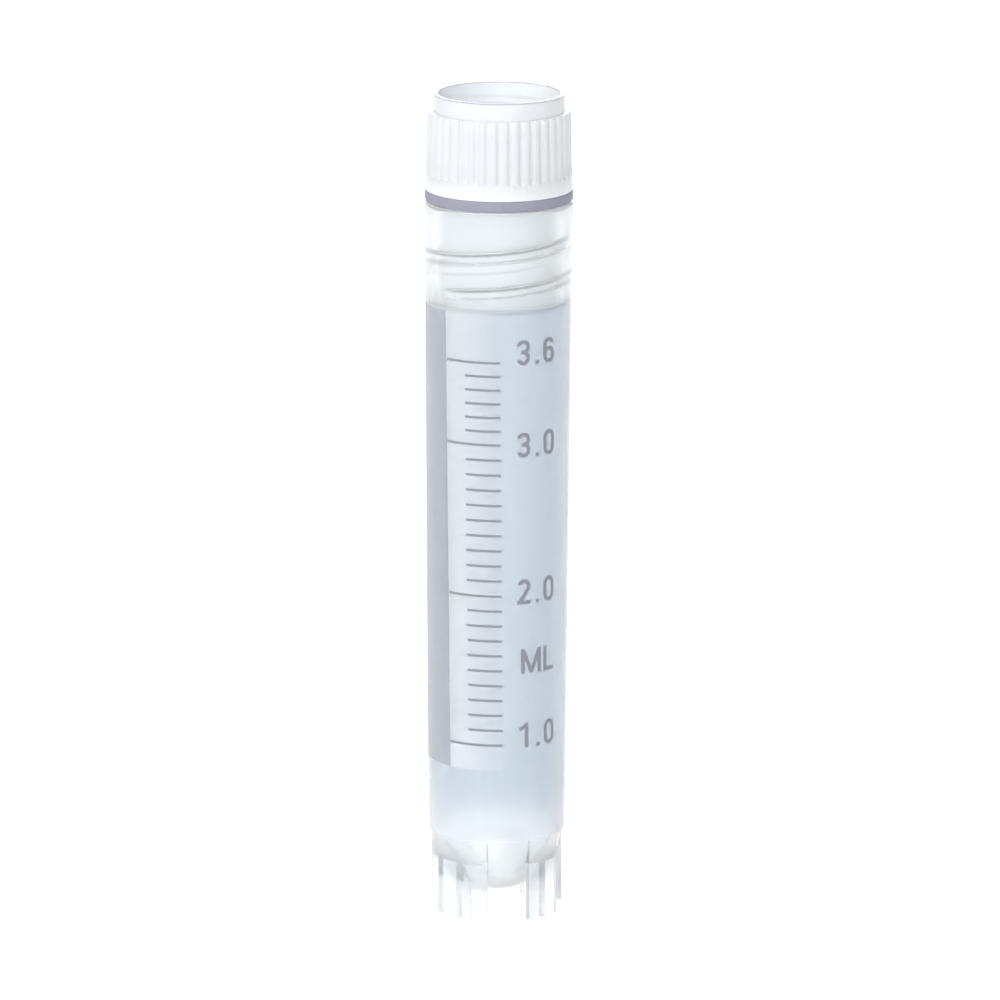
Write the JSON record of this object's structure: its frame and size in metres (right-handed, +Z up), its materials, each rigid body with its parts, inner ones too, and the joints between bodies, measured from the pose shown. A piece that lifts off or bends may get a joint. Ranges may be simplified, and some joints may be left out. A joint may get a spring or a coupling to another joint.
{
  "type": "cryovial",
  "caption": "Self-standing tapered sample vial with a round bottom, a slotted foot, an internal thread, a ribbed screw cap and a sealing washer.",
  "frame": {"origin": "centre of the foot's circle on the surface that the vial stands on", "axes": "+Z up along the vial's axis, -Y towards the graduated side, +X to the right of it"},
  "size_m": [0.0126, 0.0124, 0.0704],
  "materials": {
    "natural_polypropylene": "moulded, translucent, satin",
    "white_polypropylene": "moulded, milky, satin",
    "grey_silicone": "moulded, smooth, matt",
    "white_ink": "screen-printed writing area",
    "grey_ink": "screen-printed scale"
  },
  "bodies": {
    "vial": {"vial": "natural_polypropylene"},
    "washer": {"sealing_washer": "grey_silicone"},
    "cap": {"screw_cap": "white_polypropylene"}
  },
  "joints": [
    {"name": "cap_lift", "type": "slide", "parent": "vial", "child": "washer", "axis": [0, 0, 1], "range_m": [0, 0.009]},
    {"name": "cap_turn", "type": "hinge", "parent": "washer", "child": "cap", "pos_m": [0, 0, 0.0663], "axis": [0, 0, 1], "range_deg": [0, 1080]}
  ],
  "couplings": [
    {"joint": "cap_turn", "follows": "cap_lift", "rad_per_m": 2094.4}
  ]
}
